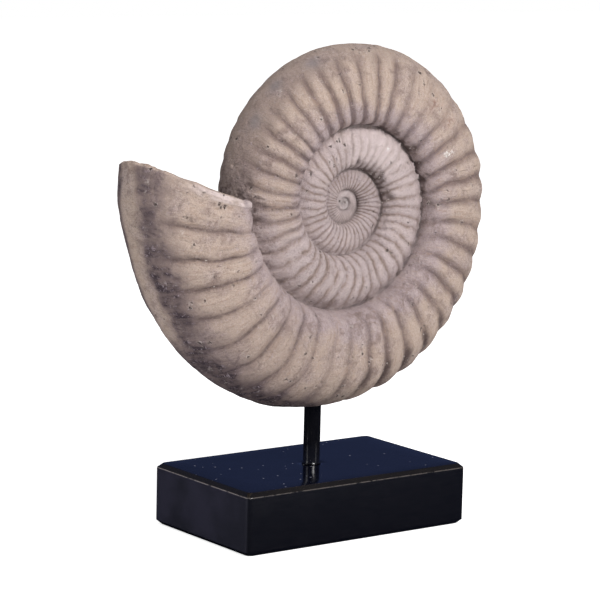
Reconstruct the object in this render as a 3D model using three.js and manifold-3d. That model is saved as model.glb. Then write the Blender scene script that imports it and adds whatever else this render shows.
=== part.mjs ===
// A coiled ammonite shell, cast in one piece, standing on a round steel rod in a painted wooden block.
//
// Millimetres, +Z up, +X along the block's long side. The origin is the centre of the block's underside.
// The shell is coiled in the plane y = 0. Its mouth is at the left, opening upwards.

import * as THREE from "three";
import { mergeVertices } from "three/addons/utils/BufferGeometryUtils.js";
import Module from "manifold-3d";

const wasm = await Module();
wasm.setup();

// ---- driving dimensions ----------------------------------------------------------------------

const FIT_GAP = 0.3; // left between two pieces that touch

const BLOCK_LENGTH = 190;
const BLOCK_DEPTH = 115;
const BLOCK_HEIGHT = 44;
const BLOCK_CHAMFER = 3;
const BLOCK_CORNER_RADIUS = 1.5;
const BLOCK_SOCKET_DEPTH = 30;

const ROD_RADIUS = 6;
const ROD_EDGE = 0.8;
const ROD_TOP = 112;

const COIL_X = 14.3; // the coil's axis
const COIL_Z = 230.6;
const MOUTH_RADIUS = 174; // from the axis to the outside of the whorl at the mouth
const MOUTH_ANGLE = radians(168.9); // where the outside of the mouth is, turned from +X towards +Z
const SHRINK = 0.0974; // the radius falls by exp(-SHRINK) in each radian back from the mouth
const WHORL_HEIGHT = 0.5; // all of these are in parts of the radius
const WHORL_HALF_WIDTH = 0.2425;
const WALL = 0.042;
const OUTER_ROUNDNESS = 1.92; // superellipse powers of the whorl's outer and inner halves
const INNER_ROUNDNESS = 3;
const LIP_LEAN = radians(7.5); // how far the lip's outside runs ahead of its inside
const EGG = 0.015; // the coil bulges upwards by this part of its radius, and is drawn in below
const TURNS = 4.5;
const DRAWN_IN_FROM = 45; // inside this distance from the axis the coil winds in faster
const DRAWN_IN_POWER = 0.6;
const COIL_LIFT = 9; // how far the middle of the coil is raised, so that it is shallow
const LIFT_START = 102; // distances from the axis where the raising begins and is whole
const LIFT_WHOLE = 52;
const LIFT_CENTRE = 30; // inside this distance it falls again, to half at the axis
const MOUTH_DEPTH = radians(35); // the hollow in the mouth, as an angle of the coil

const STEPS_PER_TURN = 54;
const FLANK_COLUMNS = 5; // across the part of a whorl that the next one leaves showing
const OUTSIDE_COLUMNS = 8; // from there to the middle of the whorl's outside
const FLOOR_ROWS = 2;

const CIRCLE_FACES = 48;
const WELD_DISTANCE = 1e-3;

function radians(degrees) {
  return (degrees * Math.PI) / 180;
}

// ---- solids ----------------------------------------------------------------------------------

function geometryFrom(positions, indices) {
  const geometry = new THREE.BufferGeometry();
  geometry.setAttribute("position", new THREE.Float32BufferAttribute(positions, 3));
  geometry.setIndex(indices);
  return geometry;
}

function toSolid(geometry) {
  const bare = geometry.clone();
  bare.deleteAttribute("normal");
  bare.deleteAttribute("uv");
  const merged = mergeVertices(bare);
  return new wasm.Manifold(
    new wasm.Mesh({
      numProp: 3,
      vertProperties: new Float32Array(merged.attributes.position.array),
      triVerts: new Uint32Array(merged.index.array),
    }),
  );
}

function toGeometry(solid) {
  const mesh = solid.getMesh();
  return geometryFrom(mesh.vertProperties, Array.from(mesh.triVerts));
}

function roundBar(radius, low, high) {
  const bar = new THREE.CylinderGeometry(radius, radius, high - low, CIRCLE_FACES);
  bar.rotateX(Math.PI / 2);
  bar.translate(0, 0, (low + high) / 2);
  return bar;
}

function cutSocket(geometry, low, high) {
  const hole = roundBar(ROD_RADIUS + FIT_GAP, low, high);
  return toGeometry(toSolid(geometry).subtract(toSolid(hole)));
}

function makeMesh(name, geometry, finish) {
  const facets = geometry.index ? geometry.toNonIndexed() : geometry;
  facets.computeVertexNormals();
  const mesh = new THREE.Mesh(facets, new THREE.MeshStandardMaterial(finish));
  mesh.name = name;
  return mesh;
}

// ---- the whorl -------------------------------------------------------------------------------

// A section of the whorl is a superellipse. `around` is 0 at the middle of its outside and pi at
// the middle of its inside. The result is in parts of the whorl's outer radius: how far the point
// is from the axis, how far it is out of the coil's plane, and its height up the section, 0 to 1.
// A section of the hollow lies `wall` under the surface, but runs right down to the whorl below it.
function sectionPoint(around, wall) {
  const power = 2 / (Math.cos(around) > 0 ? OUTER_ROUNDNESS : INNER_ROUNDNESS);
  const cosine = Math.sign(Math.cos(around)) * Math.abs(Math.cos(around)) ** power;
  const sine = Math.abs(Math.sin(around)) ** power;
  const halfHeight = WHORL_HEIGHT / 2;
  const reach = halfHeight - (cosine > 0 ? wall : 0);
  return {
    out: 1 - halfHeight + reach * cosine,
    side: (WHORL_HALF_WIDTH - wall) * sine,
    height: (1 + cosine) / 2,
  };
}

// The whorls all have one shape, each smaller than the one outside it. A ray from the axis that
// meets a whorl at a height meets it this much nearer the axis than at its outside, because the
// growth lines lean.
function leanShrink(height) {
  return Math.exp(SHRINK * LIP_LEAN * (1 - height));
}

const TURN_SHRINK = Math.exp(-SHRINK * 2 * Math.PI);

// The profile that a plane through the axis cuts from a whorl, in the same terms as a section.
function profilePoint(around, wall) {
  const point = sectionPoint(around, wall);
  const scale = leanShrink(point.height);
  return { out: point.out * scale, side: point.side * scale, height: point.height };
}

function bisect(low, high, test) {
  for (let i = 0; i < 60; i += 1) {
    const middle = (low + high) / 2;
    if (test(middle)) {
      low = middle;
    } else {
      high = middle;
    }
  }
  return (low + high) / 2;
}

// Where the inside half of a whorl, at this wall, meets the outside of the next whorl in.
// Both angles are measured around their own section.
function findSeam(wall) {
  const innerAt = (around) => {
    const point = profilePoint(around, 0);
    return { out: point.out * TURN_SHRINK, side: point.side * TURN_SHRINK };
  };
  const outerAround = (out) =>
    bisect(Math.PI / 2, Math.PI, (around) => profilePoint(around, wall).out > out);
  const inner = bisect(0, Math.PI / 2, (around) => {
    const point = innerAt(around);
    return profilePoint(outerAround(point.out), wall).side > point.side;
  });
  return { inner, outer: outerAround(innerAt(inner).out) };
}

const SEAM = findSeam(0);
const MOUTH_SEAM = findSeam(WALL);

// The lip leans, and the leaning dies away over the first part of the whorl.
const LEAN_START = 0.05; // the height where it begins
const LEAN_FADE = radians(40);

function rowLean(turned, height) {
  const fade = Math.max(0, 1 - turned / LEAN_FADE);
  return LIP_LEAN * Math.max(0, height - LEAN_START) * fade;
}

function smoothStep(value, low, high) {
  const share = Math.min(1, Math.max(0, (value - low) / (high - low)));
  return share * share * (3 - 2 * share);
}

// How far a point is drawn in towards the axis, as a factor, and raised out of the coil's plane.
function drawnIn(distance) {
  return (1 + (DRAWN_IN_FROM / distance) ** 6) ** (-DRAWN_IN_POWER / 6);
}

function raised(distance) {
  const rise = 1 - smoothStep(distance, LIFT_WHOLE, LIFT_START);
  return COIL_LIFT * rise * (0.5 + 0.5 * smoothStep(distance, 0, LIFT_CENTRE));
}

// `turned` is how far back round the coil from the mouth, `wall` how far under the surface.
function shellPoint(turned, around, wall, side) {
  const point = sectionPoint(around, wall);
  const back = turned - rowLean(turned, point.height);
  const angle = MOUTH_ANGLE + LIP_LEAN * (1 - LEAN_START) + back;
  const grown = back + LIP_LEAN * (point.height - LEAN_START);
  const radius = MOUTH_RADIUS * Math.exp(-SHRINK * grown);
  const out = radius * point.out * (1 + EGG * Math.sin(angle));
  const drawn = out * drawnIn(out);
  const lift = raised(out) * smoothStep(around, 0, MOUTH_SEAM.inner);
  return [
    COIL_X + drawn * Math.cos(angle),
    side * (radius * point.side + lift),
    COIL_Z + drawn * Math.sin(angle),
  ];
}

// Values from start to end in equal steps, both ends included.
function spread(start, end, steps) {
  return Array.from({ length: steps + 1 }, (_, i) => start + ((end - start) * i) / steps);
}

// ---- the shell -------------------------------------------------------------------------------

// One half of the shell, on the side of the plane y = 0 that `side` gives (-1 or 1), as a list of
// triangles of points. The surface is a ribbon that winds in from the mouth, and its edges meet.
function halfShell(side) {
  const triangles = [];

  const zip = (first, second) => {
    let i = 0;
    let j = 0;
    while (i < first.length - 1 || j < second.length - 1) {
      const stepFirst = (i + 1) / (first.length - 1) <= (j + 1) / (second.length - 1);
      const next = stepFirst ? first[i + 1] : second[j + 1];
      triangles.push([first[i], second[j], next]);
      if (stepFirst) {
        i += 1;
      } else {
        j += 1;
      }
    }
  };

  const skin = (rows) => {
    for (let i = 0; i < rows.length - 1; i += 1) {
      zip(rows[i], rows[i + 1]);
    }
  };

  const rowAt = (step, arounds, wall) =>
    arounds.map((around) => shellPoint((step * 2 * Math.PI) / STEPS_PER_TURN, around, wall, side));

  const rowsFrom = (first, last, arounds, wall) =>
    spread(first, last, last - first).map((step) => rowAt(step, arounds, wall));

  const flank = spread(SEAM.outer, SEAM.inner, FLANK_COLUMNS);
  const outside = spread(MOUTH_SEAM.inner, 0, OUTSIDE_COLUMNS);
  const inside = spread(MOUTH_SEAM.outer, 0, OUTSIDE_COLUMNS);
  const lastStep = TURNS * STEPS_PER_TURN;
  const depthSteps = Math.round((MOUTH_DEPTH / (2 * Math.PI)) * STEPS_PER_TURN);

  // the last whorl, which shows right round to the middle of its outside
  skin(rowsFrom(0, STEPS_PER_TURN, [...flank, ...outside], 0));
  // the whorls inside it
  skin(rowsFrom(STEPS_PER_TURN, lastStep, flank, 0));

  // the hollow in the mouth: its wall, the whorl that it passes over, its end, and the lip
  const hollow = rowsFrom(0, depthSteps, inside, WALL);
  const saddle = rowsFrom(STEPS_PER_TURN, STEPS_PER_TURN + depthSteps, outside, 0);
  skin([...hollow].reverse());
  skin(saddle);
  const wallEnd = hollow.at(-1);
  const saddleEnd = saddle.at(-1);
  const endRows = spread(0, 1, FLOOR_ROWS).map((share) =>
    wallEnd.map((point, i) => point.map((value, axis) => value + (saddleEnd[i][axis] - value) * share)),
  );
  skin(endRows.reverse());
  const lip = rowAt(0, [...flank, ...outside], 0);
  skin([hollow[0], lip]);

  // the button at the middle of the coil
  const rim = rowsFrom(lastStep - STEPS_PER_TURN, lastStep, [SEAM.outer], 0).map((row) => row[0]);
  rim.push(...rowAt(lastStep, flank, 0).slice(1));
  const centre = [COIL_X, rim[0][1], COIL_Z];
  for (let i = 0; i < rim.length - 1; i += 1) {
    triangles.push([centre, rim[i + 1], rim[i]]);
  }
  return triangles;
}

// Points that are the same are made one, and triangles with no area are left out.
function weld(triangles) {
  const soup = new THREE.BufferGeometry();
  soup.setAttribute("position", new THREE.Float32BufferAttribute(triangles.flat(2), 3));
  const welded = mergeVertices(soup, WELD_DISTANCE);
  const corners = Array.from(welded.index.array);
  const kept = [];
  for (let i = 0; i < corners.length; i += 3) {
    const [a, b, c] = corners.slice(i, i + 3);
    if (a !== b && b !== c && c !== a) {
      kept.push(a, b, c);
    }
  }
  welded.setIndex(kept);
  return welded;
}

function makeShell() {
  const near = halfShell(-1).map((triangle) => triangle.reverse());
  const far = halfShell(1);
  const shell = weld([...near, ...far]);
  const drilled = cutSocket(shell, 0, ROD_TOP + FIT_GAP);
  return makeMesh("shell", drilled, { color: 0xb9a899, roughness: 0.85, metalness: 0 });
}

// ---- the rod and the block -------------------------------------------------------------------

function makeRod() {
  const low = BLOCK_HEIGHT - BLOCK_SOCKET_DEPTH + FIT_GAP;
  const profile = [
    new THREE.Vector2(0, low),
    new THREE.Vector2(ROD_RADIUS - ROD_EDGE, low),
    new THREE.Vector2(ROD_RADIUS, low + ROD_EDGE),
    new THREE.Vector2(ROD_RADIUS, ROD_TOP - ROD_EDGE),
    new THREE.Vector2(ROD_RADIUS - ROD_EDGE, ROD_TOP),
    new THREE.Vector2(0, ROD_TOP),
  ];
  const rod = new THREE.LatheGeometry(profile, CIRCLE_FACES);
  rod.rotateX(Math.PI / 2);
  return makeMesh("rod", rod, { color: 0x121214, roughness: 0.3, metalness: 0.6 });
}

function makeBlock() {
  const x = BLOCK_LENGTH / 2 - BLOCK_CHAMFER;
  const y = BLOCK_DEPTH / 2 - BLOCK_CHAMFER;
  const r = BLOCK_CORNER_RADIUS;
  const outline = new THREE.Shape();
  outline.absarc(x - r, y - r, r, 0, Math.PI / 2);
  outline.absarc(r - x, y - r, r, Math.PI / 2, Math.PI);
  outline.absarc(r - x, r - y, r, Math.PI, 1.5 * Math.PI);
  outline.absarc(x - r, r - y, r, 1.5 * Math.PI, 2 * Math.PI);
  const block = new THREE.ExtrudeGeometry(outline, {
    depth: BLOCK_HEIGHT - 2 * BLOCK_CHAMFER,
    curveSegments: 4,
    bevelThickness: BLOCK_CHAMFER,
    bevelSize: BLOCK_CHAMFER,
    bevelSegments: 1,
  });
  block.translate(0, 0, BLOCK_CHAMFER);
  const low = BLOCK_HEIGHT - BLOCK_SOCKET_DEPTH;
  const drilled = cutSocket(block, low, BLOCK_HEIGHT + 1);
  return makeMesh("block", drilled, { color: 0x17181d, roughness: 0.35, metalness: 0 });
}

const sculpture = new THREE.Group();
sculpture.add(makeBlock(), makeRod(), makeShell());

export default sculpture;
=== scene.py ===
import math

import bpy
import numpy as np
from mathutils import Matrix, Vector, noise


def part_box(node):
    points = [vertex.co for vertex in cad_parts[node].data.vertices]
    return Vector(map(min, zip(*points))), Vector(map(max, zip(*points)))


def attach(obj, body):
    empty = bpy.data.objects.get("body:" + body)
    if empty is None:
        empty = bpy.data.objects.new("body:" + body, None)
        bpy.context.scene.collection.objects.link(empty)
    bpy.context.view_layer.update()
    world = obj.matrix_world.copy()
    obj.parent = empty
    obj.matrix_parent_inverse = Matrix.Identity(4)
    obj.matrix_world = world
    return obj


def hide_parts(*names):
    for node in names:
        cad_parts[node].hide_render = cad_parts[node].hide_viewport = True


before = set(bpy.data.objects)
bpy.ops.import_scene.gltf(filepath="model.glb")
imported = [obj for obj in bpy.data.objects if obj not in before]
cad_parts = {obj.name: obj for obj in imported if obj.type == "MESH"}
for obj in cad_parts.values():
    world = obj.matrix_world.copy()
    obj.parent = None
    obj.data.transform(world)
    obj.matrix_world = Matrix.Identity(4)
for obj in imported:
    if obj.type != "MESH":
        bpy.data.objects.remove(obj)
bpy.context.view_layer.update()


# ---- the block -------------------------------------------------------------------------------
# A solid hardwood block. Its long edges are planed to a narrow chamfer and the upright corners are
# It is sprayed with blue-black lacquer, glossy on top, rubbed thin along the chamfers. Its end faces are
# painted lighter than its long sides, as painted light, and its top a deeper navy, as a painted
# reflection of the dark blue cloth.

_, block_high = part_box("block")
chamfer = 0.003
eased = 0.0004  # every planed edge is rubbed round by this much
upright_radius = 0.004
corner_steps = 6  # steps round each upright corner of the outline, and along each side
side_steps = 18
socket_radius = 0.0063
socket_depth = 0.030
socket_rim = 0.0003


def add_piece(name, points, faces, finish):
    mesh = bpy.data.meshes.new(name)
    mesh.from_pydata([tuple(point) for point in points], [], faces)
    mesh.polygons.foreach_set("use_smooth", [True] * len(faces))
    mesh.materials.append(finish)
    mesh.validate()
    piece = bpy.data.objects.new(name, mesh)
    bpy.context.scene.collection.objects.link(piece)
    return piece


def block_outline(inset):
    """One ring round the block, drawn in from its sides by inset, always with as many points."""
    half_x = block_high.x - inset
    half_y = block_high.y - inset
    radius = upright_radius
    corners = [
        (half_x - radius, half_y - radius, 0),
        (radius - half_x, half_y - radius, 90),
        (radius - half_x, radius - half_y, 180),
        (half_x - radius, radius - half_y, 270),
    ]
    ring = []
    for number, (x, y, start_angle) in enumerate(corners):
        for step in range(corner_steps + 1):
            angle = math.radians(start_angle + 90 * step / corner_steps)
            ring.append((x + radius * math.cos(angle), y + radius * math.sin(angle)))
        next_x, next_y, next_angle = corners[(number + 1) % 4]
        angle = math.radians(next_angle)
        end = (next_x + radius * math.cos(angle), next_y + radius * math.sin(angle))
        start = ring[-1]
        for step in range(1, side_steps):
            share = step / side_steps
            ring.append(tuple(a + (b - a) * share for a, b in zip(start, end)))
    return ring


def eased_corner(before, corner, after):
    """Four points that round off a corner of the block's side profile, eased back along both sides."""
    def toward(target):
        length = math.dist(corner, target)
        return [c + (t - c) * eased / length for c, t in zip(corner, target)]
    first, last = toward(before), toward(after)
    made = []
    for share in (0, 0.33, 0.67, 1):
        made.append([
            (1 - share) ** 2 * a + 2 * share * (1 - share) * b + share ** 2 * c
            for a, b, c in zip(first, corner, last)
        ])
    return made


# The side profile, as (how far in from the side, height), from the underside to the top.
block_height = block_high.z
on_the_flat = 0.03
profile = [
    (on_the_flat, 0),
    (chamfer, 0),
    (0, chamfer),
    (0, block_height - chamfer),
    (chamfer, block_height),
    (on_the_flat, block_height),
]
block_rings = []
for before, corner, after in zip(profile, profile[1:], profile[2:]):
    for inset, height in eased_corner(before, corner, after):
        block_rings.append([(x, y, height) for x, y in block_outline(inset)])
top_edge = block_rings[-1]
hole_ring = []
for x, y, _ in top_edge:
    angle = math.atan2(y, x)
    hole_ring.append((math.cos(angle), math.sin(angle)))
for share in (0.2, 0.4, 0.6, 0.8, 0.93):
    block_rings.append([
        (x + (cx * socket_radius - x) * share, y + (cy * socket_radius - y) * share, block_height)
        for (x, y, _), (cx, cy) in zip(top_edge, hole_ring)
    ])
for radius, height in (
    (socket_radius + socket_rim, block_height),
    (socket_radius, block_height - socket_rim),
    (socket_radius, block_height - socket_depth),
    (0.002, block_height - socket_depth),
):
    block_rings.append([(cx * radius, cy * radius, height) for cx, cy in hole_ring])
ring_size = len(top_edge)
block_points = [point for ring in block_rings for point in ring]
block_faces = []
for ring in range(len(block_rings) - 1):
    for i in range(ring_size):
        j = (i + 1) % ring_size
        low, high = ring * ring_size, (ring + 1) * ring_size
        block_faces.append((low + i, low + j, high + j, high + i))
block_faces.append(tuple(reversed(range(ring_size))))
block_faces.append(tuple(range(len(block_points) - ring_size, len(block_points))))


def new_finish(name):
    finish = bpy.data.materials.new(name)
    finish.use_nodes = True
    return finish, finish.node_tree.nodes["Principled BSDF"]


def node(finish, kind, **settings):
    made = finish.node_tree.nodes.new("ShaderNode" + kind)
    for key, value in settings.items():
        setattr(made, key, value)
    return made


def join(finish, start, end):
    finish.node_tree.links.new(start, end)


def place_on_piece(finish, stretch=(1, 1, 1)):
    """Where a point is on the piece, in metres, stretched for grain."""
    place = node(finish, "TexCoord")
    mapping = node(finish, "Mapping")
    mapping.inputs["Scale"].default_value = stretch
    join(finish, place.outputs["Object"], mapping.inputs["Vector"])
    return mapping.outputs["Vector"]


def cloud(finish, place, scale, detail=4, roughness=0.55, distortion=0):
    """Cloudy noise around 0.5, with about this many lumps to the metre."""
    made = node(finish, "TexNoise")
    made.inputs["Scale"].default_value = scale
    made.inputs["Detail"].default_value = detail
    made.inputs["Roughness"].default_value = roughness
    made.inputs["Distortion"].default_value = distortion
    join(finish, place, made.inputs["Vector"])
    return made.outputs["Fac"]


def fade(finish, value, low, high, bottom=0, top=1):
    """Turns low..high of a value into bottom..top, and holds it there outside."""
    made = node(finish, "MapRange", interpolation_type="SMOOTHSTEP")
    made.inputs["From Min"].default_value = low
    made.inputs["From Max"].default_value = high
    made.inputs["To Min"].default_value = bottom
    made.inputs["To Max"].default_value = top
    join(finish, value, made.inputs["Value"])
    return made.outputs["Result"]


def sums(finish, operation, first, second):
    """One sum on two values, each of them a socket or a number."""
    made = node(finish, "Math", operation=operation)
    for slot_number, value in enumerate((first, second)):
        if isinstance(value, (int, float)):
            made.inputs[slot_number].default_value = value
        else:
            join(finish, value, made.inputs[slot_number])
    return made.outputs["Value"]


def srgb(red, green, blue):
    """A colour given as 0 to 255, as the shader wants it."""
    made = []
    for value in (red, green, blue):
        share = value / 255
        made.append(share / 12.92 if share <= 0.04045 else ((share + 0.055) / 1.055) ** 2.4)
    return (*made, 1)


def blend_colour(finish, amount, first, second, mode="MIX"):
    """The first colour where amount is 0 and the second where it is 1."""
    made = node(finish, "Mix", data_type="RGBA", blend_type=mode)
    if isinstance(amount, (int, float)):
        made.inputs[0].default_value = amount
    else:
        join(finish, amount, made.inputs[0])
    for slot_number, value in ((6, first), (7, second)):
        if isinstance(value, tuple):
            made.inputs[slot_number].default_value = value
        else:
            join(finish, value, made.inputs[slot_number])
    return made.outputs[2]


def bumps(finish, shader, layers):
    """Stacks bump layers, each (value, depth in metres), on the shader's normal."""
    last = None
    for value, depth in layers:
        made = node(finish, "Bump")
        made.inputs["Strength"].default_value = 1
        made.inputs["Distance"].default_value = depth
        join(finish, value, made.inputs["Height"])
        if last is not None:
            join(finish, last, made.inputs["Normal"])
        last = made.outputs["Normal"]
    join(finish, last, shader.inputs["Normal"])


lacquer, lacquer_shader = new_finish("blue_black_lacquer")
grain_place = place_on_piece(lacquer, (0.06, 0.06, 1))
grain = cloud(lacquer, grain_place, 900, 5, 0.6)
open_place = place_on_piece(lacquer)
drift = cloud(lacquer, open_place, 30, 3)
height_split = node(lacquer, "SeparateXYZ")
join(lacquer, open_place, height_split.inputs["Vector"])
height_up = height_split.outputs["Z"]
facing = node(lacquer, "NewGeometry")
facing_split = node(lacquer, "SeparateXYZ")
join(lacquer, facing.outputs["True Normal"], facing_split.inputs["Vector"])
on_top = fade(lacquer, facing_split.outputs["Z"], 0.8, 0.95)
on_side = fade(lacquer, facing_split.outputs["Z"], 0.55, 0.3)
on_end = fade(lacquer, sums(lacquer, "ABSOLUTE", facing_split.outputs["X"], 0), 0.75, 0.95)
side_colour = blend_colour(lacquer, fade(lacquer, grain, 0.35, 0.7), srgb(9, 10, 17), srgb(15, 15, 21))
# Painted light: the end faces are coloured lighter than the long sides.
end_colour_painted_lit = blend_colour(lacquer, fade(lacquer, drift, 0.35, 0.65), srgb(33, 33, 42), srgb(43, 42, 55))
side_colour = blend_colour(lacquer, on_end, side_colour, end_colour_painted_lit)
chamfer_colour = blend_colour(lacquer, drift, srgb(18, 16, 14), srgb(32, 29, 24))
# Painted reflection: the top is coloured a deeper navy, standing for the dark blue cloth it mirrors.
top_colour_and_painted_reflection = blend_colour(lacquer, drift, srgb(6, 8, 18), srgb(10, 12, 24))
edge_or_side = blend_colour(lacquer, on_side, chamfer_colour, side_colour)
coat_colour = blend_colour(lacquer, on_top, edge_or_side, top_colour_and_painted_reflection)
# A broken light line runs along the chamfer's lower edge: partly lacquer rubbed off, partly a painted
# highlight on the edge.
from_edge = sums(lacquer, "ABSOLUTE", sums(lacquer, "SUBTRACT", height_up, block_height - chamfer), 0)
rub_line = fade(lacquer, from_edge, 0.0005, 0.0001)
rub_break = fade(lacquer, cloud(lacquer, open_place, 160, 5, 0.7), 0.36, 0.52)
rub_and_highlight = sums(lacquer, "MULTIPLY", sums(lacquer, "MULTIPLY", rub_line, rub_break), 0.8)
# Painted highlight: the line is brighter on the end faces.
rub_and_highlight_colour = blend_colour(lacquer, on_end, srgb(92, 86, 82), srgb(150, 141, 140))
coat_colour = blend_colour(lacquer, rub_and_highlight, coat_colour, rub_and_highlight_colour)
# Specks of dust lie on the top.
specks = node(lacquer, "TexVoronoi")
specks.inputs["Scale"].default_value = 110
join(lacquer, open_place, specks.inputs["Vector"])
dust = sums(lacquer, "MULTIPLY", fade(lacquer, specks.outputs["Distance"], 0.09, 0.05), on_top)
thin_dust = sums(lacquer, "MULTIPLY", dust, 0.8)
coat_colour = blend_colour(lacquer, thin_dust, coat_colour, srgb(170, 172, 186))
join(lacquer, coat_colour, lacquer_shader.inputs["Base Color"])
top_gloss = fade(lacquer, drift, 0.3, 0.7, 0.07, 0.13)
side_gloss = fade(lacquer, grain, 0.3, 0.7, 0.28, 0.36)
gloss = node(lacquer, "Mix", data_type="FLOAT")
join(lacquer, on_side, gloss.inputs[0])
join(lacquer, top_gloss, gloss.inputs[2])
join(lacquer, side_gloss, gloss.inputs[3])
join(lacquer, gloss.outputs[0], lacquer_shader.inputs["Roughness"])
bumps(lacquer, lacquer_shader, [(drift, 0.0003), (grain, 0.00003), (dust, 0.0001)])

block = add_piece("wooden_block", block_points, block_faces, lacquer)
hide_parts("block")
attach(block, "root")


# ---- the rod ---------------------------------------------------------------------------------
# A round steel rod with filed ends, sprayed gloss black. It is pushed into a blind hole in the block,
# where the paint has gathered in a thin bead round its foot, and into another in the shell.

rod_low, rod_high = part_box("rod")
rod_radius = rod_high.x
rod_end = 0.0008  # its ends are filed back by this much
rod_middle = 0.0015
bead_height = 0.0009
bead_radius = rod_radius + 0.0007
around_rod = 72
rod_profile = [
    (rod_middle, rod_low.z),
    (rod_radius - rod_end, rod_low.z),
    (rod_radius - rod_end * 0.3, rod_low.z + rod_end * 0.3),
    (rod_radius, rod_low.z + rod_end),
    (rod_radius, block_height),
    (bead_radius, block_height + 0.00005),
    (bead_radius - 0.0001, block_height + bead_height * 0.5),
    (rod_radius + 0.0002, block_height + bead_height),
    (rod_radius, block_height + bead_height * 1.4),
    (rod_radius, block_height + 0.02),
    (rod_radius, rod_high.z - 0.02),
    (rod_radius, rod_high.z - rod_end),
    (rod_radius - rod_end * 0.3, rod_high.z - rod_end * 0.3),
    (rod_radius - rod_end, rod_high.z),
    (rod_middle, rod_high.z),
]
rod_points = []
for radius, height in rod_profile:
    for i in range(around_rod):
        angle = 2 * math.pi * i / around_rod
        rod_points.append((radius * math.cos(angle), radius * math.sin(angle), height))
rod_faces = []
for ring in range(len(rod_profile) - 1):
    for i in range(around_rod):
        j = (i + 1) % around_rod
        low, high = ring * around_rod, (ring + 1) * around_rod
        rod_faces.append((low + i, low + j, high + j, high + i))
rod_faces.append(tuple(reversed(range(around_rod))))
rod_faces.append(tuple(range(len(rod_points) - around_rod, len(rod_points))))

gloss_black, gloss_black_shader = new_finish("gloss_black_paint")
rod_place = place_on_piece(gloss_black)
rod_drift = cloud(gloss_black, rod_place, 120, 4)
rod_speck = fade(gloss_black, cloud(gloss_black, rod_place, 1400, 2), 0.70, 0.76)
faint_speck = sums(gloss_black, "MULTIPLY", rod_speck, 0.4)
rod_colour = blend_colour(gloss_black, rod_drift, srgb(8, 8, 10), srgb(17, 16, 19))
rod_colour = blend_colour(gloss_black, faint_speck, rod_colour, srgb(110, 105, 104))
join(gloss_black, rod_colour, gloss_black_shader.inputs["Base Color"])
rod_gloss = fade(gloss_black, rod_drift, 0.3, 0.7, 0.12, 0.22)
join(gloss_black, rod_gloss, gloss_black_shader.inputs["Roughness"])
bumps(gloss_black, gloss_black_shader, [(rod_drift, 0.0002), (rod_speck, 0.00008)])

rod = add_piece("steel_rod", rod_points, rod_faces, gloss_black)
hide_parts("rod")
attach(rod, "root")


# ---- the shell -------------------------------------------------------------------------------
# An ammonite shell cast in one piece in a stone-filled resin and rubbed with dark patina. It is a
# whorl of one shape wound nearly five and a half times, ribbed across, with a hollow mouth. The rod
# fits into a blind hole in its underside.

shell_low, shell_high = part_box("shell")
coil_x = shell_low.x + 0.17156
coil_z = shell_high.z - 0.10997
mouth_radius = 0.174  # from the coil's axis to the outside of the whorl at the mouth
mouth_angle = math.radians(168.9)
shrink = 0.0974  # the radius falls by exp(-shrink) in each radian back from the mouth
whorl_height = 0.5  # these are in parts of the radius
whorl_half_width = 0.2425
mouth_wall = 0.042
outer_roundness = 1.92
inner_roundness = 3
lip_lean = math.radians(7.5)
lean_start = 0.05
lean_fade = math.radians(40)
egg = 0.015  # the coil bulges upwards by this part of its radius
drawn_in_from = 0.045  # inside this distance from the axis the coil winds in faster
drawn_in_power = 0.6
coil_lift = 0.009  # how far the middle of the coil is raised, so that it is shallow
turn = 2 * math.pi

# Where a whorl sits on the next one in, as angles round each one's section.
seam_outer = math.radians(168.536)
seam_inner = math.radians(40.291)
hollow_outer = math.radians(165.370)
hollow_inner = math.radians(38.911)

rows_a_turn = 600
turns = 5.4
last_row = round(turns * rows_a_turn)
hollow_rows = round(rows_a_turn * 35 / 360)  # the hollow of the mouth runs back 35 degrees
flank_columns = (20, 14, 9, 6, 4, 3)  # across the part that shows, turn by turn inwards
crowding = 0.35  # how much closer together they lie near the seams
outside_columns = 21
lip_steps = 5
lip_bulge = 0.012  # how far the lip's rounded edge stands forward, in radians of the coil


def ramp(value, low, high):
    """Rises smoothly from 0 to 1 as the value goes from low to high."""
    share = np.clip((value - low) / (high - low), 0, 1)
    return share * share * (3 - 2 * share)


def whorl_point(turned, around, wall, side):
    """A point of the shell, `turned` back from the mouth and `around` the whorl, and its growth angle."""
    turned, around, wall, side = np.broadcast_arrays(turned, around, wall, side)
    cosine = np.cos(around)
    power = 2 / np.where(cosine > 0, outer_roundness, inner_roundness)
    cosine = np.sign(cosine) * np.abs(cosine) ** power
    sine = np.abs(np.sin(around)) ** power
    reach = whorl_height / 2 - np.where(cosine > 0, wall, 0)
    height = (1 + cosine) / 2
    lean = lip_lean * np.maximum(0, height - lean_start)
    back = turned - lean * np.maximum(0, 1 - turned / lean_fade)
    angle = mouth_angle + lip_lean * (1 - lean_start) + back
    grown = back + lip_lean * (height - lean_start)
    radius = mouth_radius * np.exp(-shrink * grown)
    out = radius * (1 - whorl_height / 2 + reach * cosine) * (1 + egg * np.sin(angle))
    drawn = out * (1 + (drawn_in_from / out) ** 6) ** (-drawn_in_power / 6)
    lift = coil_lift * (1 - ramp(out, 0.052, 0.102)) * (0.5 + 0.5 * ramp(out, 0, 0.03))
    across = side * (radius * (whorl_half_width - wall) * sine + lift * ramp(around, 0, hollow_inner))
    point = np.stack([coil_x + drawn * np.cos(angle), across, coil_z + drawn * np.sin(angle)], -1)
    return point, np.degrees(grown)


# Every vertex is listed once, as (turned, around, wall, side, which surface it lies on).
in_hollow, on_outside, on_lip, on_button = range(4)
listed = []


def list_vertex(turned, around, wall, side, surface):
    listed.append((turned, around, wall, side, surface))
    return len(listed) - 1


triangles = []


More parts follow.
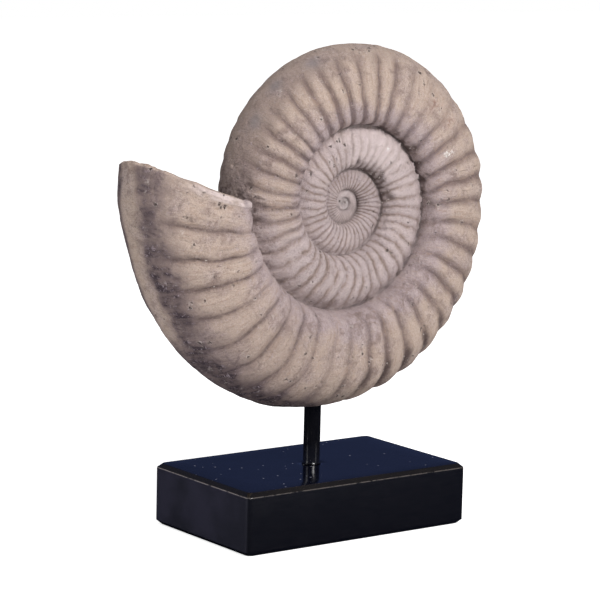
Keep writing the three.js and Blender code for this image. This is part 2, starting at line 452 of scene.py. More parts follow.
def zip_rows(first, second, side):
    """Fills between two rows of vertices, which may differ in count."""
    i = j = 0
    while i < len(first) - 1 or j < len(second) - 1:
        step_first = (i + 1) * (len(second) - 1) <= (j + 1) * (len(first) - 1)
        corner = first[i + 1] if step_first else second[j + 1]
        made = (first[i], second[j], corner)
        if len(set(made)) == 3:
            triangles.append(made if side > 0 else made[::-1])
        if step_first:
            i += 1
        else:
            j += 1


def step_angle(row):
    return row * turn / rows_a_turn


keel = {}  # the middle of the outside, which both sides share


def keel_vertex(turned, wall, surface):
    key = (turned, wall)
    if key not in keel:
        keel[key] = list_vertex(turned, 0.0, wall, 0.0, surface)
    return keel[key]


def eased_spread(start, end, steps):
    """Values from start to end, closer together at both ends."""
    share = np.linspace(0, 1, steps + 1)
    share = share - crowding * np.sin(2 * np.pi * share) / (2 * np.pi)
    return start + (end - start) * share


buttons = []
for side in (-1.0, 1.0):
    # Each row's outer end lies on the whorl inside it, so those are listed first.
    edge = [
        list_vertex(step_angle(row), seam_inner, 0.0, side, on_outside) for row in range(last_row + 1)
    ]

    def flank_row(row, columns):
        if row + rows_a_turn <= last_row:
            start = edge[row + rows_a_turn]
        else:
            start = list_vertex(step_angle(row), seam_outer, 0.0, side, on_outside)
        middle = [
            list_vertex(step_angle(row), around, 0.0, side, on_outside)
            for around in eased_spread(seam_outer, seam_inner, columns)[1:-1]
        ]
        return [start, *middle, edge[row]]

    def outside_row(row, surface):
        middle = [
            list_vertex(step_angle(row), around, 0.0, side, surface)
            for around in np.linspace(hollow_inner, 0, outside_columns + 1)[:-1]
        ]
        return [*middle, keel_vertex(step_angle(row), 0.0, surface)]

    # the skin, from the mouth inwards
    flanks = []
    for row in range(last_row + 1):
        flanks.append(flank_row(row, flank_columns[max(0, row - 1) // rows_a_turn]))
    outsides = [outside_row(row, on_outside) for row in range(rows_a_turn + 1)]
    for row in range(last_row):
        first, second = flanks[row], flanks[row + 1]
        if row < rows_a_turn:
            first, second = first + outsides[row], second + outsides[row + 1]
        zip_rows(first, second, side)

    # the hollow of the mouth: the wall, the whorl it passes over, and the rough end
    inside_arounds = np.linspace(hollow_outer, 0, outside_columns + 1)
    saddle = [outsides[rows_a_turn]]
    for row in range(rows_a_turn + 1, rows_a_turn + hollow_rows + 1):
        saddle.append(outside_row(row, in_hollow))
    wall_rows = []
    for row in range(hollow_rows + 1):
        wall_row = [saddle[row][0]]
        for around in inside_arounds[1:-1]:
            wall_row.append(list_vertex(step_angle(row), around, mouth_wall, side, in_hollow))
        wall_rows.append([*wall_row, keel_vertex(step_angle(row), mouth_wall, in_hollow)])
    for row in range(hollow_rows):
        zip_rows(wall_rows[row + 1], wall_rows[row], side)
        zip_rows(saddle[row], saddle[row + 1], side)
    zip_rows(saddle[hollow_rows], wall_rows[hollow_rows], side)

    # the lip, rounded over from the skin to the wall of the hollow
    lip_skin = flanks[0] + outsides[0]
    skin_arounds = np.array([listed[v][1] for v in lip_skin])
    skin_arounds[0] = seam_outer
    last_lip = lip_skin
    for step in range(1, lip_steps):
        share = step / lip_steps
        wall = mouth_wall * share
        ahead = -lip_bulge * math.sin(math.pi * share)
        arounds = seam_outer + (hollow_outer - seam_outer) * share
        arounds = arounds * (skin_arounds / seam_outer)
        this_lip = [list_vertex(ahead, around, wall, side, on_lip) for around in arounds[1:-1]]
        this_lip = [last_lip[0], *this_lip, keel_vertex(ahead, wall, on_lip)]
        zip_rows(this_lip, last_lip, side)
        last_lip = this_lip
    zip_rows(wall_rows[0], last_lip, side)

    # the button at the middle of the coil
    rim = [flanks[row][0] for row in range(last_row - rows_a_turn, last_row + 1)]
    rim += flanks[last_row][1:]
    button = list_vertex(step_angle(last_row), seam_outer, 0.0, side, on_button)
    shoulder_ring = [list_vertex(*listed[vertex][:4], on_button) for vertex in rim[:-1]]
    shoulder_ring.append(shoulder_ring[0])
    zip_rows(rim, shoulder_ring, side)
    for start, end in zip(shoulder_ring, shoulder_ring[1:]):
        triangles.append((button, start, end) if side < 0 else (button, end, start))
    buttons.append((button, rim[:-1], shoulder_ring[:-1], side))

vertex_turned, vertex_around, vertex_wall, vertex_side, vertex_surface = np.array(listed).T
points, growth = whorl_point(vertex_turned, vertex_around, vertex_wall, vertex_side)
button_rise = 0.0004
ring_share = 0.45  # how far in the button's shoulder lies, from its rim to its top
for button, rim, shoulder_ring, side in buttons:
    button_top = side * (np.abs(points[rim, 1]).max() + button_rise)
    points[button] = (coil_x, button_top, coil_z)
    points[shoulder_ring] = points[rim] * (1 - ring_share) + points[button] * ring_share
    points[shoulder_ring, 1] += 0.3 * (button_top - points[shoulder_ring, 1])
triangles = np.array(triangles)


def vertex_normals(places):
    corners = places[triangles]
    face = np.cross(corners[:, 1] - corners[:, 0], corners[:, 2] - corners[:, 0])
    total = np.zeros_like(places)
    for corner in range(3):
        np.add.at(total, triangles[:, corner], face)
    return total / np.maximum(np.linalg.norm(total, axis=1, keepdims=True), 1e-12)


# The middle of the coil is brought forward, so that its inner turns aren't lost in a funnel.
centre_raise = 0.0034
from_axis = np.hypot(points[:, 0] - coil_x, points[:, 2] - coil_z)
points[:, 1] += vertex_side * centre_raise * (1 - ramp(from_axis, 0.003, 0.013))

normals = vertex_normals(points)
around = np.degrees(vertex_around)
from_lip = np.degrees(vertex_turned)
size_here = np.exp(-shrink * np.radians(growth))  # 1 at the mouth, smaller on the inner whorls
whorl_turn = growth % 360
skin = np.isin(vertex_surface, (on_outside, on_button)).astype(float)
inner_whorls = ramp(growth, 365, 395)


def hump(value, middle, width):
    """1 at the middle, falling away smoothly to both sides."""
    return np.exp(-(((value - middle) / width) ** 2))


def plateau(value, rise, fall):
    """1 between a rise and a fall, each given as (start, end), and 0 outside them."""
    return ramp(value, *rise) * (1 - ramp(value, *fall))


def rough(size, octaves, offset=0.0):
    """Cloudy unevenness from about -1 to 1, with lumps of this size in metres."""
    scaled = points / size + offset
    return np.array([noise.fractal(Vector(p), 0.9, 2.0, octaves) for p in scaled])


wave = rough(0.020, 3)
lumps = rough(0.0075, 3, 40)
grit = rough(0.0028, 2, 80)
crumbs = lumps + grit

# The ribs: stations of (growth angle, ribs counted back from the mouth). Grooves sweep towards the
# mouth as they near the coil's middle, and run straight close to the lip.
rib_stations = np.array([
    (-20, -3.4), (11.5, 0), (57, 5), (103, 10), (206.5, 21), (250, 25), (325, 33), (384, 40),
])
inner_rib_pitch = 8.9
sweep = (4 * ramp(around, 60, 130) + 5 * ramp(around, 115, 165)) * ramp(growth, 8, 60)
swept = growth + sweep + (0.9 + 2.2 * inner_whorls) * wave + 0.7 * inner_whorls * lumps
ribs = np.interp(swept, rib_stations[:, 0], rib_stations[:, 1])
past = rib_stations[-1, 0]
ribs = np.where(swept > past, rib_stations[-1, 1] + (swept - past) / inner_rib_pitch, ribs)
from_groove = np.abs(ribs - np.round(ribs))
bluntness = 0.62 + 0.6 * ramp(growth, 45, 110)
rib_rise = np.sin(np.pi * from_groove) ** bluntness  # 0 in a groove, 1 on a crest
fine_ribs = np.sin(2 * np.pi * (3.1 * ribs + 0.6 * wave)) * (0.25 + 0.75 * hump(growth, 240, 22))

# How strongly the ribs stand out. Near the mouth they die out over the outside of the whorl.
rib_number = np.floor(ribs)
past_bare_outside = np.maximum(plateau(growth, (92, 118), (228, 250)), ramp(growth, 372, 380))
on_flank = 0.10 + 0.90 * ramp(around, 24, 54)
rib_strength = on_flank + (1 - on_flank) * past_bare_outside
inner_wear = 0.35 - 0.25 * np.sin(rib_number * 1.9 + 1) - 0.25 * wave
inner_wear += 0.45 * (1 - ramp(around, 50, 100)) * hump(growth, 600, 70)
for worn in (
    0.55 * hump(growth, 84, 17),
    0.75 * hump(growth, 239, 18),
    0.7 * ramp(around, 132, 162),
    0.45 * ramp(around, 112, 145) * hump(growth, 150, 60),
    0.4 * ramp(around, 95, 150) * (1 - ramp(growth, 40, 75)),
    inner_whorls * inner_wear,
    0.55 * ramp(growth, 1350, 1650),
    ramp(growth, 900, 1100) * (0.3 - 0.5 * lumps),
):
    rib_strength *= 1 - worn
rib_strength *= ramp(from_lip, 2.2, 7)
rib_strength *= 0.85 + 0.3 * np.sin(rib_number * 2.4) * np.sin(rib_number * 1.1 + 0.7) + 0.22 * wave
rib_strength *= skin

# How far each vertex is pushed out along its normal, in metres.
rib_height = 0.0030
middle_of_rib = 0.66
push = rib_height * size_here * rib_strength * (rib_rise - middle_of_rib)
push += 0.00016 * size_here * fine_ribs * np.clip(rib_strength, 0, 1)
push += size_here ** 0.5 * (0.00045 * wave + 0.00022 * lumps) + 0.00008 * grit
# The outside is a little fuller at the top right and the lower left than the plain spiral.
fuller = 0.0019 * plateau(growth, (178, 205), (248, 280))
fuller += 0.0013 * plateau(growth, (36, 50), (80, 92)) - 0.0005 * hump(growth, 114, 15)
push += fuller * (1 - ramp(around, 72, 115)) * skin

# The crevice where a whorl meets the next: deep and crusty over the top and right, shallow at the
# left. The edge that stands over it is crusty too.
seam_around = math.degrees(seam_inner)
inner_edge = (vertex_turned > turn * 0.999) * (np.abs(around - seam_around) < 0.5)
on_seam = np.maximum(ramp(around + 7 * lumps, 153, 167), inner_edge) * skin
crevice_depth = 0.12 + 0.88 * hump(whorl_turn, 232, 72)
crevice_depth += 0.8 * hump(growth, 1, 11) + 0.7 * hump(growth, 366, 10)
crevice_depth = np.clip(crevice_depth, 0, 1) * (1 - 0.6 * ramp(growth, 850, 1000))
push -= on_seam * size_here * crevice_depth * (0.0004 + 0.0014 * (lumps + 0.6 * grit))
edge_crust = hump(around, 43, 5) * plateau(growth, (362, 372), (900, 1100)) * skin
push += edge_crust * size_here ** 0.5 * (0.0003 + (0.001 + 0.0044 * crevice_depth) * crumbs)

# The lip's crusty rim band, bounded by a shallow groove, and the swelling just behind its tip.
behind_keel = ramp(around, 50, 85)
rim_band = (1 - ramp(from_lip, 1.6, 2.6)) * behind_keel * skin
push += rim_band * (0.0004 + 0.0007 * grit + 0.0004 * lumps)
push -= 0.0006 * hump(from_lip, 3.0, 0.7) * behind_keel * skin
swelling = 0.0012 * hump(growth, 9, 5) - 0.0007 * hump(growth, 20, 6)
push += swelling * (1 - ramp(around, 25, 60)) * skin
rough_cast = np.isin(vertex_surface, (in_hollow, on_lip))
push += rough_cast * (0.0006 * lumps + 0.0003 * grit)

# Pits left by bubbles in the casting. They lie anywhere, thickest near the rod and by the mouth.
maker = np.random.default_rng(7)
pit_depth = np.zeros(len(points))
pit_places = [  # how many, then the growth angle and the angle around, each as (middle, spread)
    (60, (280, 160), (85, 45)),
    (26, (97, 10), (35, 20)),
    (30, (362, 8), (38, 18)),
    (30, (24, 15), (28, 16)),
    (30, (350, 22), (130, 20)),
    (24, (4, 5), (150, 12)),
    (26, (225, 25), (158, 9)),
    (20, (590, 40), (120, 30)),
]
pit_rows = np.concatenate([maker.normal(*rows, count) for count, rows, _ in pit_places])
pit_arounds = np.abs(np.concatenate([maker.normal(*arounds, count) for count, _, arounds in pit_places]))
pit_sides = maker.choice((-1.0, 1.0), len(pit_rows))
pit_sizes = maker.uniform(0.0011, 0.0026, len(pit_rows))
pit_depths = maker.uniform(0.0003, 0.0009, len(pit_rows))
pit_slants = maker.normal(0, 1, (len(pit_rows), 3))
centres, _ = whorl_point(np.radians(np.maximum(pit_rows, 1)), np.radians(pit_arounds), 0.0, pit_sides)
for centre, size, depth, slant in zip(centres, pit_sizes, pit_depths, pit_slants):
    offset = (points - centre) / size
    along = offset @ (slant / np.linalg.norm(slant))
    near = (offset ** 2).sum(1) - 0.6 * along ** 2
    pit_depth = np.maximum(pit_depth, depth * np.exp(-near) * (near < 6) * (1 + 0.5 * lumps))
push -= pit_depth * skin

shaped = points + normals * push[:, None]

# Masks for the patina, and for painted light and shade. Each is 0 to 1 over the skin.
# Crest is the rubbed, light colour of the ribs, with painted shade and a painted highlight added below.
# The strip along the keel by the mouth is light too.
strength = np.clip(rib_strength, 0, 1)
keel_strip = (1 - ramp(around + 4 * wave, 6, 20)) * (1 - ramp(growth, 32, 52))
crest_and_painted_shading = 0.85 + strength * (rib_rise - 0.85)
# Painted shade: valleys high on the top and right are darker, where they face away from the lamp.
crest_and_painted_shading -= 0.45 * (1 - rib_rise) * hump(growth, 260, 60) * ramp(around, 80, 125)
# Painted highlight: the top of the second whorl is lighter.
crest_and_painted_shading += 0.2 * hump(growth, 625, 60) * (1 - ramp(around, 85, 120))
crest_and_painted_shading += 0.35 * keel_strip

# Dirt lies in the grooves, the crevice and the pits. The grooves and the crevice are also painted darker
# as painted shade, and the wedge of flank beside the crevice carries a painted shadow.
groove_line = 0.6 * strength * (1 - ramp(from_groove, 0.02, 0.14)) * (1 - ramp(growth, 50, 85))
groove_line *= 1 - 0.5 * ramp(around, 85, 140)
shadow_wedge = ramp(around + 8 * wave + 6 * lumps, 116 - 30 * inner_whorls, 162) * crevice_depth * skin
shadow_wedge *= 1.1 - (0.7 - 0.35 * inner_whorls) * rib_rise
crusty = 0.5 + 0.5 * ramp(lumps + 0.6 * grit, -0.5, 0.35)
dirt_and_painted_shade = groove_line + on_seam * (0.06 + 0.66 * crevice_depth) * crusty
dirt_and_painted_shade += (0.5 + 0.4 * inner_whorls) * shadow_wedge + pit_depth / 0.0018
dirt_and_shade_patches = (
    # where the mouth stands on the whorl below it: dirt, and painted shade under the overhang
    0.80 * hump(growth, 368, 10) * (1 - ramp(around, 60, 84)) * ramp(crumbs, -0.6, 0.4),
    0.80 * hump(growth, 4, 9) * ramp(around, 128, 158) * ramp(crumbs, -0.5, 0.4),
    0.64 * hump(growth, 361, 9) * hump(around, 42, 16) * ramp(crumbs, -0.1, 0.6),
    # a notch behind the lip, and the groove that bounds its rim
    0.70 * hump(growth, 9.0, 1.3) * hump(around, 64, 3.5),
    0.55 * hump(from_lip, 3.2, 0.7) * behind_keel * ramp(lumps + wave, -0.5, 0.4),
    # the outer ends of the grooves, low on the right
    1.10 * (1 - rib_rise) * hump(around, 60, 22) * hump(growth, 120, 34),
)
dirt_and_painted_shade = np.clip(np.max([dirt_and_painted_shade, *dirt_and_shade_patches], axis=0), 0, 1)
dirt_and_painted_shade *= 1 - 0.9 * ramp(growth, 1350, 1650)
# The inside of the hollow mouth is painted darker.
inside_dark = (vertex_surface == in_hollow) * (0.35 + 0.4 * ramp(lumps, -0.5, 0.5))

# Smoke is the dark, feathered band behind the mouth: on the shoulder at first, then underneath.
# Underneath and over the lower left flank it is partly painted shade.
shoulder_band = hump(around + 4 * wave, 24 + 8 * ramp(growth, 15, 50), 24)
shoulder_band *= 0.9 + 0.2 * ramp(growth, 12, 26)
under_band = 1.35 * ramp(growth, 34, 54) * (1 - ramp(around, 30, 66))
smoke_and_painted_shade = np.maximum(shoulder_band, under_band) * plateau(growth, (-9, 4), (80, 108))
smoke_and_painted_shade *= 1 - 0.5 * rib_rise * ramp(around, 24, 44) * ramp(growth, 30, 46)
smoke_and_painted_shade *= 0.7 + 0.3 * ramp(lumps + wave, -0.6, 0.6)
smoke_and_painted_shade = np.maximum(smoke_and_painted_shade, 0.28 * hump(growth, 359, 15) * hump(around, 28, 26))
# Painted shade, partly smoke: a faint darkening over the lower left flank.
faint_smoke_and_shade = 0.42 * plateau(growth, (24, 48), (66, 90)) * (1 - ramp(around, 45, 75))
smoke_and_painted_shade = np.maximum(smoke_and_painted_shade, faint_smoke_and_shade) * (1 - 0.7 * keel_strip)

# Umber is a brown stain low down, and shoulder a grey-brown one at the left and top left. Its patch low
# on the left flank is partly painted shade.
umber = plateau(growth, (96, 112), (150, 175)) * (1 - ramp(around, 35, 62)) * ramp(wave, -0.4, 0.5)
shoulder = 0.7 * hump(growth, 425, 26) * hump(around, 100, 40)
shoulder += 0.6 * hump(growth, 60, 24) * hump(around, 85, 45)
shoulder += hump(growth, 325, 48) * (1 - ramp(around, 38, 70))
shoulder += 0.6 * hump(growth, 338, 18) * hump(around, 42, 18)

# The stone leans to lilac near the coil's middle, and is pale on its crusty edges and innermost. The
# innermost turns are painted paler still, as painted light on the shaded middle of the coil, and the top
# of the second whorl carries a painted highlight.
lilac = 0.85 * np.maximum(ramp(around, 85, 135), ramp(growth, 330, 400))
pale_places = (
    edge_crust * ramp(crumbs, -0.5, 0.4),
    0.9 * rim_band * ramp(crumbs, -0.6, 0.3),
    ramp(growth, 1050, 1450),
    0.7 * hump(growth, 612, 42) * ramp(around, 40, 60),
)
pale_with_painted_light = np.max(pale_places, axis=0)

# Single marks on the near side, each as (growth angle, angle around, size).
single_marks = {
    "rust": [(223, 80, 2.0), (235, 82, 2.0)],
    "slate": [(333, 25, 3.5), (298, 29, 3.5), (316, 18, 3.5)],
    "bare_with_painted_light": [(210, 100, 2.6), (601, 84, 2.6)],
}


def marked(kind):
    made = []
    for mark_growth, mark_around, mark_size in single_marks[kind]:
        away = (growth - mark_growth) ** 2 + ((around - mark_around) / 3.2) ** 2
        made.append(np.exp(-away / mark_size ** 2))
    return np.max(made, axis=0) * (vertex_side < 0)


inner_stripes = inner_whorls * (1 - ramp(growth, 1300, 1600)) * (0.35 + 0.65 * ramp(around, 45, 95))
masks = {
    "crest_and_painted_shading": crest_and_painted_shading,
    "dirt_and_painted_shade": np.maximum(dirt_and_painted_shade * skin, inside_dark),
    "smoke_and_painted_shade": smoke_and_painted_shade * skin,
    "umber": umber * skin,
    "lilac": lilac,
    "shoulder": shoulder * skin,
    "rust": marked("rust") * skin,
    "slate": marked("slate") * skin,
    # The innermost turns are painted nearly white, partly as painted light on the shaded middle of the
    # coil.
    "bare_with_painted_light": np.maximum(marked("bare_with_painted_light"), 0.68 * ramp(growth, 1350, 1600)) * skin,
    "pale_with_painted_light": pale_with_painted_light,
    "inner": inner_stripes * skin,
}

# Where a point is along the whorl, in ribs, and around it, for marks that follow the ribs.
along_ribs = np.stack([ribs, vertex_side * around / 24, np.zeros(len(points))], 1)

stone, stone_shader = new_finish("patinated_cast_stone")


# Short forms of the node helpers above, for the stone.
def mask(name):
    return node(stone, "Attribute", attribute_name=name).outputs["Fac"]


def times(first, second):
    return sums(stone, "MULTIPLY", first, second)


def plus(first, second):
    return sums(stone, "ADD", first, second)


def eased_to(value, low, high, bottom=0, top=1):
    return fade(stone, value, low, high, bottom, top)


def from_middle(value):
    """How far a value from 0 to 1 is from its middle."""
    return sums(stone, "ABSOLUTE", sums(stone, "SUBTRACT", value, 0.5), 0)


def swing(value, reach):
    """A cloud value, moved to swing this far either side of nothing."""
    return times(sums(stone, "SUBTRACT", value, 0.5), reach)


def cells(place, scale):
    """How far a point is from the nearest of many scattered spots, which lie about 1 / scale apart."""
    made = node(stone, "TexVoronoi", feature="F1")
    made.inputs["Scale"].default_value = scale
    join(stone, place, made.inputs["Vector"])
    return made.outputs["Distance"]


stone_place = place_on_piece(stone)
drifting = cloud(stone, stone_place, 48, 4, 0.6)
blotchy = cloud(stone, stone_place, 110, 4, 0.6, 0.6)
mottle = cloud(stone, stone_place, 260, 5, 0.62)
brushed = cloud(stone, stone_place, 420, 4, 0.65, 1.4)
pocked = cloud(stone, stone_place, 640, 4, 0.68, 0.8)
sandy = cloud(stone, stone_place, 1500, 3, 0.6)

# Marks that run along the ribs.
rib_grid = node(stone, "Attribute", attribute_name="along_ribs").outputs["Vector"]
rib_place = node(stone, "Mapping")
rib_place.inputs["Scale"].default_value = (7, 1, 1)
join(stone, rib_grid, rib_place.inputs["Vector"])
combed = cloud(stone, rib_place.outputs["Vector"], 1, 5, 0.62, 0.5)
hairs = cloud(stone, rib_place.outputs["Vector"], 2.6, 4, 0.6, 0.3)

# Pinholes in patches, each with a broken pale rim, partly a painted highlight, scattered on a
# place that is bent a little so that they aren't round.
wander_cloud = node(stone, "TexNoise")
wander_cloud.inputs["Scale"].default_value = 420
join(stone, stone_place, wander_cloud.inputs["Vector"])
wander = node(stone, "VectorMath", operation="SCALE")
wander.inputs["Scale"].default_value = 0.005
join(stone, wander_cloud.outputs["Color"], wander.inputs[0])
bent_place = node(stone, "VectorMath", operation="ADD")
join(stone, stone_place, bent_place.inputs[0])
join(stone, wander.outputs["Vector"], bent_place.inputs[1])
bubble_patch = eased_to(cloud(stone, stone_place, 70, 3), 0.50, 0.62)
from_bubble = plus(cells(bent_place.outputs["Vector"], 150), swing(brushed, 0.35))
pinholes = times(eased_to(from_bubble, 0.20, 0.09), bubble_patch)
bubble_rims_and_highlights = times(eased_to(from_bubble, 0.36, 0.24), bubble_patch)
bubble_rims_and_highlights = times(sums(stone, "SUBTRACT", bubble_rims_and_highlights, pinholes), eased_to(brushed, 0.4, 0.6))

# The stone itself, tan to lilac, with a sandy grain. It is lighter on the crests than in the valleys:
# patina lies in the valleys, and they are painted darker still as painted shade.
lilac_amount = eased_to(plus(mask("lilac"), swing(drifting, 2.0)), -0.1, 0.9)
crest_colour = blend_colour(stone, lilac_amount, srgb(204, 185, 172), srgb(196, 180, 181))
valley_patina_and_shade_colour = blend_colour(stone, lilac_amount, srgb(133, 115, 109), srgb(132, 116, 117))
crest_amount = plus(mask("crest_and_painted_shading"), plus(swing(blotchy, 0.7), swing(combed, 0.55)))
body_colour = blend_colour(stone, eased_to(crest_amount, 0, 0.95), valley_patina_and_shade_colour, crest_colour)
grain_tone = blend_colour(stone, eased_to(sandy, 0.30, 0.72), srgb(232, 227, 224), srgb(255, 255, 255))

# Each coat is (where it lies, its colour, how much of it shows there at most), the lowest first.
stains = times(eased_to(blotchy, 0.46, 0.66), eased_to(drifting, 0.42, 0.60))
tanned = times(eased_to(combed, 0.50, 0.62), eased_to(drifting, 0.58, 0.42))
under_coats = [
    (stains, srgb(138, 118, 110), 0.6),
    (tanned, srgb(172, 148, 132), 0.45),
    (mask("shoulder"), srgb(142, 126, 121), 0.6),
]

# On the inner whorls the patina lies in the valleys between the ribs, unevenly, and these dark stripes
# are partly painted shade.
rib_split = node(stone, "SeparateXYZ")
join(stone, rib_grid, rib_split.inputs["Vector"])
rib_count = plus(rib_split.outputs["X"], plus(swing(mottle, 0.3), swing(blotchy, 0.25)))
from_crest = from_middle(sums(stone, "FRACT", rib_count, 0))
valley_patches = times(mask("inner"), eased_to(blotchy, 0.30, 0.58))
inner_coats = [
    (mask("inner"), srgb(222, 207, 206), 0.42),
    (times(eased_to(from_crest, 0.12, 0.5), valley_patches), srgb(156, 134, 122), 0.75),
    (times(eased_to(from_crest, 0.36, 0.5), valley_patches), srgb(106, 89, 85), 0.35),
]

# It also lies in small hollows and hair-fine grooves, and is worn off the grains that stand out.
rough_patch = eased_to(plus(drifting, times(mask("inner"), 0.12)), 0.42, 0.62, 0.25, 1)
hair_lines = times(eased_to(from_middle(hairs), 0.022, 0.004), eased_to(drifting, 0.44, 0.6))
wear_coats = [
    (times(eased_to(pocked, 0.46, 0.32), rough_patch), srgb(106, 90, 87), 0.4),
    (times(eased_to(pocked, 0.58, 0.72), rough_patch), srgb(228, 214, 210), 0.4),
    (eased_to(brushed, 0.54, 0.70), srgb(160, 137, 123), 0.4),
    (eased_to(brushed, 0.44, 0.30), srgb(190, 175, 182), 0.35),
    (hair_lines, srgb(112, 95, 91), 0.5),
    (mask("pale_with_painted_light"), srgb(229, 213, 211), 0.8),
    (eased_to(plus(mask("bare_with_painted_light"), swing(pocked, 2.2)), 0.6, 0.9), srgb(236, 232, 229), 0.85),
]

# The dark patina was brushed on in feathered strokes and then partly wiped off. The smoke and dirt coats
# below also carry painted shade.
streaks = plus(swing(combed, 1.5), plus(swing(blotchy, 0.9), swing(brushed, 0.5)))
light_strokes = times(eased_to(brushed, 0.53, 0.64), eased_to(combed, 0.42, 0.58))
dark_coats = [
    (times(mask("umber"), eased_to(brushed, 0.38, 0.64)), srgb(92, 74, 70), 0.8),
    # The smoke, partly painted shade underneath and at the lower left.
    (eased_to(plus(mask("smoke_and_painted_shade"), swing(blotchy, 0.5)), -0.05, 0.85), srgb(95, 80, 85), 0.78),
    (eased_to(plus(mask("smoke_and_painted_shade"), streaks), 0.6, 1.25), srgb(52, 42, 52), 0.88),
    (times(light_strokes, mask("smoke_and_painted_shade")), srgb(176, 160, 167), 0.75),
    (mask("slate"), srgb(122, 120, 126), 0.5),
    (times(mask("rust"), eased_to(mottle, 0.4, 0.6)), srgb(128, 84, 70), 0.8),
    # Dirt, and painted shade in the grooves and the crevices.
    (eased_to(plus(mask("dirt_and_painted_shade"), swing(mottle, 0.8)), 0.12, 0.95), srgb(86, 71, 68), 0.88),
]

# Last come the pinholes, and bare chips of pale stone along the crevices and the lip.
chips = eased_to(cells(bent_place.outputs["Vector"], 330), 0.24, 0.16)
chip_places = eased_to(plus(mask("dirt_and_painted_shade"), swing(mottle, 1.6)), 0.55, 0.75)
top_coats = [
    (bubble_rims_and_highlights, srgb(220, 207, 201), 0.45),
    (pinholes, srgb(84, 70, 66), 0.8),
    (times(chips, chip_places), srgb(214, 204, 198), 0.75),
]

for where, colour, most in under_coats:
    body_colour = blend_colour(stone, times(where, most), body_colour, colour)
body_colour = blend_colour(stone, 1.0, body_colour, grain_tone, "MULTIPLY")
for where, colour, most in inner_coats + wear_coats + dark_coats + top_coats:
    body_colour = blend_colour(stone, times(where, most), body_colour, colour)
join(stone, body_colour, stone_shader.inputs["Base Color"])
join(stone, eased_to(mottle, 0.3, 0.7, 0.78, 0.94), stone_shader.inputs["Roughness"])
stone_shader.inputs["Specular IOR Level"].default_value = 0.25
bumps(stone, stone_shader, [
    (blotchy, 0.0016),
    (mottle, 0.0014),
    (combed, 0.0016),
    (brushed, 0.0010),
    (pocked, 0.0006),
    (times(pinholes, -1), 0.0012),
])

shell = add_piece("ammonite_shell", shaped, triangles.tolist(), stone)
for name, values in masks.items():
    layer = shell.data.attributes.new(name, "FLOAT", "POINT")
    layer.data.foreach_set("value", np.clip(values, 0, 1).astype(np.float32))

layer = shell.data.attributes.new("along_ribs", "FLOAT_VECTOR", "POINT")
layer.data.foreach_set("vector", along_ribs.astype(np.float32).ravel())

# The blind hole for the rod, bored from below the shell to just above the rod's top.
drill_sides = 48
drill_low = 0.08
drill_high = rod_high.z + 0.0003
drill_points = []
for height in (drill_low, drill_high):
    for i in range(drill_sides):
        angle = 2 * math.pi * i / drill_sides
        drill_points.append((socket_radius * math.cos(angle), socket_radius * math.sin(angle), height))
drill_faces = []
for i in range(drill_sides):
    j = (i + 1) % drill_sides
    drill_faces.append((i, j, drill_sides + j, drill_sides + i))
drill_faces.append(tuple(reversed(range(drill_sides))))
drill_faces.append(tuple(range(drill_sides, 2 * drill_sides)))
drill = add_piece("drill", drill_points, drill_faces, stone)
boring = shell.modifiers.new("blind_hole", "BOOLEAN")
boring.operation = "DIFFERENCE"
boring.solver = "MANIFOLD"
boring.object = drill
bpy.context.view_layer.update()
bored = bpy.data.meshes.new_from_object(shell.evaluated_get(bpy.context.evaluated_depsgraph_get()))
shell.modifiers.clear()
shell.data = bored
bpy.data.objects.remove(drill)

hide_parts("shell")
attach(shell, "root")


# ---- the studio ------------------------------------------------------------------------------
# A pale seamless floor under a white surround, a broad soft lamp high on the right, a weak one at the
# left, two upright strips of light for the gloss, and a long lens. The glossy black paint mirrors a
# dark blue cloth rather than the white.

floor_finish, floor_shader = new_finish("pale_floor")
floor_cloud = cloud(floor_finish, place_on_piece(floor_finish), 3, 2)
floor_colour = blend_colour(floor_finish, floor_cloud, srgb(246, 246, 246), srgb(250, 250, 250))
join(floor_finish, floor_colour, floor_shader.inputs["Base Color"])
floor_shader.inputs["Roughness"].default_value = 0.9
floor_shader.inputs["Specular IOR Level"].default_value = 0
cloth = node(floor_finish, "BsdfDiffuse")
cloth.inputs["Color"].default_value = srgb(34, 38, 58)
glow = node(floor_finish, "Emission")
rays = node(floor_finish, "LightPath")
glow_strength = sums(floor_finish, "MULTIPLY", rays.outputs["Is Camera Ray"], 0.7)
join(floor_finish, glow_strength, glow.inputs["Strength"])
lit_floor = node(floor_finish, "AddShader")
join(floor_finish, floor_shader.outputs["BSDF"], lit_floor.inputs[0])
join(floor_finish, glow.outputs["Emission"], lit_floor.inputs[1])
seen_as = node(floor_finish, "MixShader")
join(floor_finish, rays.outputs["Is Glossy Ray"], seen_as.inputs[0])
join(floor_finish, lit_floor.outputs["Shader"], seen_as.inputs[1])
join(floor_finish, cloth.outputs["BSDF"], seen_as.inputs[2])
floor_output = floor_finish.node_tree.nodes["Material Output"]
join(floor_finish, seen_as.outputs["Shader"], floor_output.inputs["Surface"])
floor_half = 6.0
floor_points = [(x * floor_half, y * floor_half, 0) for x, y in ((-1, -1), (1, -1), (1, 1), (-1, 1))]
floor = add_piece("floor", floor_points, [(0, 1, 2, 3)], floor_finish)

surround = bpy.data.worlds.new("surround")
bpy.context.scene.world = surround
surround.use_nodes = True
surround_nodes = surround.node_tree.nodes
surround_links = surround.node_tree.links
surround_nodes.remove(surround_nodes["Background"])
surround_rays = surround_nodes.new("ShaderNodeLightPath")


def background(colour, strength):
    made = surround_nodes.new("ShaderNodeBackground")
    made.inputs["Color"].default_value = colour
    made.inputs["Strength"].default_value = strength
    return made.outputs[0]


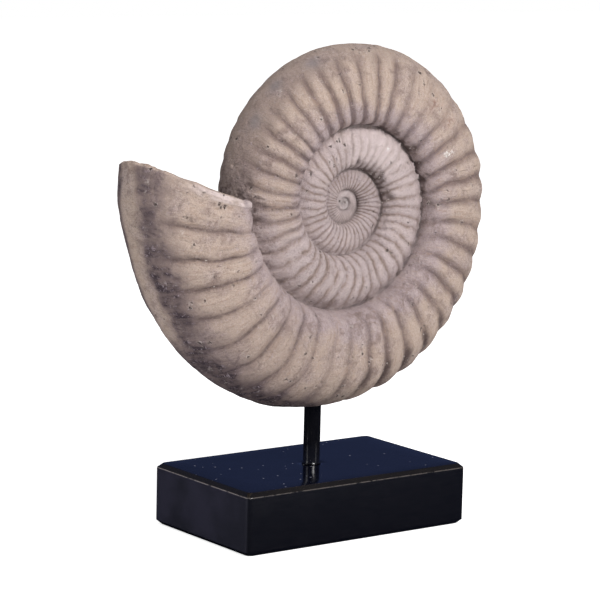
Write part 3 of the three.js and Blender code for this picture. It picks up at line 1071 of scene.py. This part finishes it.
def choose(ray_kind, otherwise, chosen):
    """The chosen background for this kind of ray, and the other one for the rest."""
    made = surround_nodes.new("ShaderNodeMixShader")
    surround_links.new(surround_rays.outputs[ray_kind], made.inputs[0])
    surround_links.new(otherwise, made.inputs[1])
    surround_links.new(chosen, made.inputs[2])
    return made.outputs[0]


white = (1, 1, 1, 1)
seen = choose("Is Glossy Ray", background(white, 0.45), background(srgb(54, 64, 98), 1.0))
seen = choose("Is Camera Ray", seen, background(white, 1.0))
surround_links.new(seen, surround_nodes["World Output"].inputs["Surface"])

view_turn = math.radians(-36.583)
view_rise = math.radians(9.021)
view_roll = math.radians(1.355)
view_distance = 1.82447
level_back = Vector((math.sin(view_turn), -math.cos(view_turn), 0))
back = level_back * math.cos(view_rise) + Vector((0, 0, math.sin(view_rise)))
right = Vector((math.cos(view_turn), math.sin(view_turn), 0))
up = back.cross(right)
rolled_right = right * math.cos(view_roll) + up * math.sin(view_roll)
rolled_up = up * math.cos(view_roll) - right * math.sin(view_roll)
aim = right * -0.010723 + Vector((0, 0, 0.160808))
lens = bpy.data.cameras.new("long_lens")
lens.lens = 155.636
lens.sensor_width = 36
lens.clip_end = 50
camera = bpy.data.objects.new("camera", lens)
turned_camera = Matrix((rolled_right, rolled_up, back)).transposed().to_4x4()
camera.matrix_world = Matrix.Translation(aim + back * view_distance) @ turned_camera
bpy.context.scene.collection.objects.link(camera)
bpy.context.scene.camera = camera


def hang_lamp(name, offset, size, power, tint=(1, 1, 1)):
    light = bpy.data.lights.new(name, "AREA")
    light.shape = "DISK"
    light.size = size
    light.energy = power
    light.color = tint
    lamp = bpy.data.objects.new(name, light)
    lamp.location = aim + offset
    lamp.rotation_euler = (-offset).to_track_quat("-Z", "Y").to_euler()
    bpy.context.scene.collection.objects.link(lamp)
    return lamp


main_place = right * 0.85 + level_back * 1.15 + Vector((0, 0, 1.15))
hang_lamp("main_lamp", main_place, 0.75, 27.2, (1, 0.985, 0.99))
side_place = right * -1.4 + level_back * 0.7 + Vector((0, 0, 0.6))
hang_lamp("side_lamp", side_place, 0.8, 3.5, (0.98, 0.98, 1))
for number, reach in enumerate((-0.9, 0.95)):
    strip = hang_lamp(f"strip_lamp_{number}", right * reach + level_back * 0.5, 0.12, 0.7)
    strip.data.shape = "RECTANGLE"
    strip.data.size_y = 1.1

bpy.context.scene.view_settings.view_transform = "Standard"
bpy.context.scene.view_settings.look = "None"
